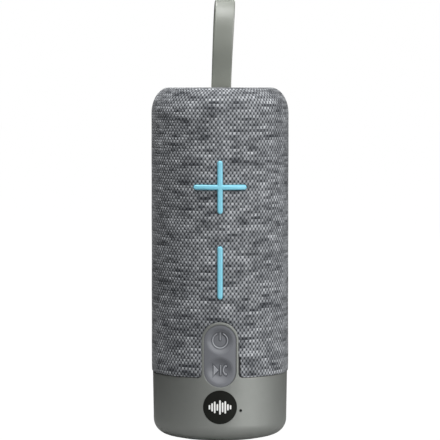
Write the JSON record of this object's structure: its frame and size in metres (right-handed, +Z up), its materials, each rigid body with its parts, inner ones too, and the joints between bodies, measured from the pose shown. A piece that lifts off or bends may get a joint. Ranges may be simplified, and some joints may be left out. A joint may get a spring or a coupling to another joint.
{
  "type": "portable wireless speaker",
  "caption": "Upright cylindrical wireless speaker with a knitted fabric sleeve, raised volume keys, a moulded base with power and play keys, and a carrying strap loop.",
  "frame": {"origin": "middle of the foot pad's underside, on the surface that the speaker stands on", "axes": "+Z up along the body, -Y towards the front with the keys and badge, +X to the viewer's right seen from the front"},
  "size_m": [0.072, 0.0732, 0.2285],
  "materials": {
    "base_plastic": "satin moulded grey, fine grain",
    "cap_plastic": "satin moulded grey, fine grain",
    "inner_plastic": "black moulded plastic, hidden",
    "knit_grey": "melange knit in grey",
    "key_blue": "smooth light blue",
    "pad_silicone": "matt grey silicone",
    "foot_rubber": "matt dark rubber",
    "flap_rubber": "matt grey rubber",
    "strap_rubber": "soft smooth light grey",
    "surround_rubber": "matt black rubber",
    "badge_black": "printed black disc",
    "cone_black": "pressed paper cone look",
    "part_black": "black moulded component bodies",
    "circuit_board": "green solder mask",
    "screw_steel": "zinc plated",
    "pin_steel": "ground steel pin",
    "frame_steel": "black pressed steel",
    "magnet_steel": "zinc plated yoke and magnet",
    "plate_aluminium": "plain turned plate",
    "socket_steel": "plated socket case",
    "cell_wrap": "shrink wrap"
  },
  "bodies": {
    "body": {"base_cup": "base_plastic", "foot_pad": "foot_rubber", "base_screws": "screw_steel", "badge": "badge_black", "keypad": "pad_silicone", "key_board": "circuit_board", "key_switches": "part_black", "volume_board": "circuit_board", "volume_switches": "part_black", "fabric_sleeve": "knit_grey", "grille": "inner_plastic", "chassis_left": "inner_plastic", "chassis_right": "inner_plastic", "chassis_screws": "screw_steel", "top_cap": "cap_plastic", "cap_screws": "screw_steel", "strap_pin": "pin_steel", "driver_frame_right": "frame_steel", "driver_frame_left": "frame_steel", "driver_magnet_right": "magnet_steel", "driver_magnet_left": "magnet_steel", "driver_surround_right": "surround_rubber", "driver_surround_left": "surround_rubber", "driver_gasket_right": "surround_rubber", "driver_gasket_left": "surround_rubber", "driver_screws_right": "screw_steel", "driver_screws_left": "screw_steel", "radiator_frame_right": "inner_plastic", "radiator_frame_left": "inner_plastic", "radiator_surround_right": "surround_rubber", "radiator_surround_left": "surround_rubber", "radiator_gasket_right": "surround_rubber", "radiator_gasket_left": "surround_rubber", "radiator_screws_right": "screw_steel", "radiator_screws_left": "screw_steel", "battery_cell": "cell_wrap", "battery_cradle": "inner_plastic", "battery_collar": "inner_plastic", "main_board": "circuit_board", "board_chips": "part_black", "board_screws": "screw_steel", "usb_socket": "socket_steel", "aux_socket": "part_black", "microphone": "socket_steel", "microphone_boot": "foot_rubber", "port_hinge": "flap_rubber"},
    "plus": {"plus_button": "key_blue"},
    "minus": {"minus_button": "key_blue"},
    "power": {"power_key": "pad_silicone"},
    "play": {"play_key": "pad_silicone"},
    "flap": {"port_flap": "flap_rubber"},
    "strap": {"carry_strap": "strap_rubber"},
    "cone_right": {"driver_cone_right": "cone_black"},
    "cone_left": {"driver_cone_left": "cone_black"},
    "plate_right": {"radiator_plate_right": "plate_aluminium"},
    "plate_left": {"radiator_plate_left": "plate_aluminium"}
  },
  "joints": [
    {"name": "plus_press", "type": "slide", "parent": "body", "child": "plus", "axis": [0, 1, 0], "range_m": [0, 0.0006], "stiffness_N_per_m": 1500},
    {"name": "minus_press", "type": "slide", "parent": "body", "child": "minus", "axis": [0, 1, 0], "range_m": [0, 0.0006], "stiffness_N_per_m": 1500},
    {"name": "power_press", "type": "slide", "parent": "body", "child": "power", "axis": [0, 1, 0], "range_m": [0, 0.0006], "stiffness_N_per_m": 1500},
    {"name": "play_press", "type": "slide", "parent": "body", "child": "play", "axis": [0, 1, 0], "range_m": [0, 0.0006], "stiffness_N_per_m": 1500},
    {"name": "flap_turn", "type": "hinge", "parent": "body", "child": "flap", "pos_m": [-0.009, 0.0341, 0.018], "axis": [0, 0, 1], "range_deg": [0, 110]},
    {"name": "strap_swing", "type": "hinge", "parent": "body", "child": "strap", "pos_m": [0, 0, 0.18], "axis": [1, 0, 0], "range_deg": [-55, 55]},
    {"name": "cone_right_stroke", "type": "slide", "parent": "body", "child": "cone_right", "axis": [1, 0, 0], "range_m": [-0.001, 0.001], "stiffness_N_per_m": 1200, "deforming": ["driver_surround_right"]},
    {"name": "cone_left_stroke", "type": "slide", "parent": "body", "child": "cone_left", "axis": [-1, 0, 0], "range_m": [-0.001, 0.001], "stiffness_N_per_m": 1200, "deforming": ["driver_surround_left"]},
    {"name": "plate_right_stroke", "type": "slide", "parent": "body", "child": "plate_right", "axis": [1, 0, 0], "range_m": [-0.001, 0.001], "stiffness_N_per_m": 1000, "deforming": ["radiator_surround_right"]},
    {"name": "plate_left_stroke", "type": "slide", "parent": "body", "child": "plate_left", "axis": [-1, 0, 0], "range_m": [-0.001, 0.001], "stiffness_N_per_m": 1000, "deforming": ["radiator_surround_left"]}
  ]
}
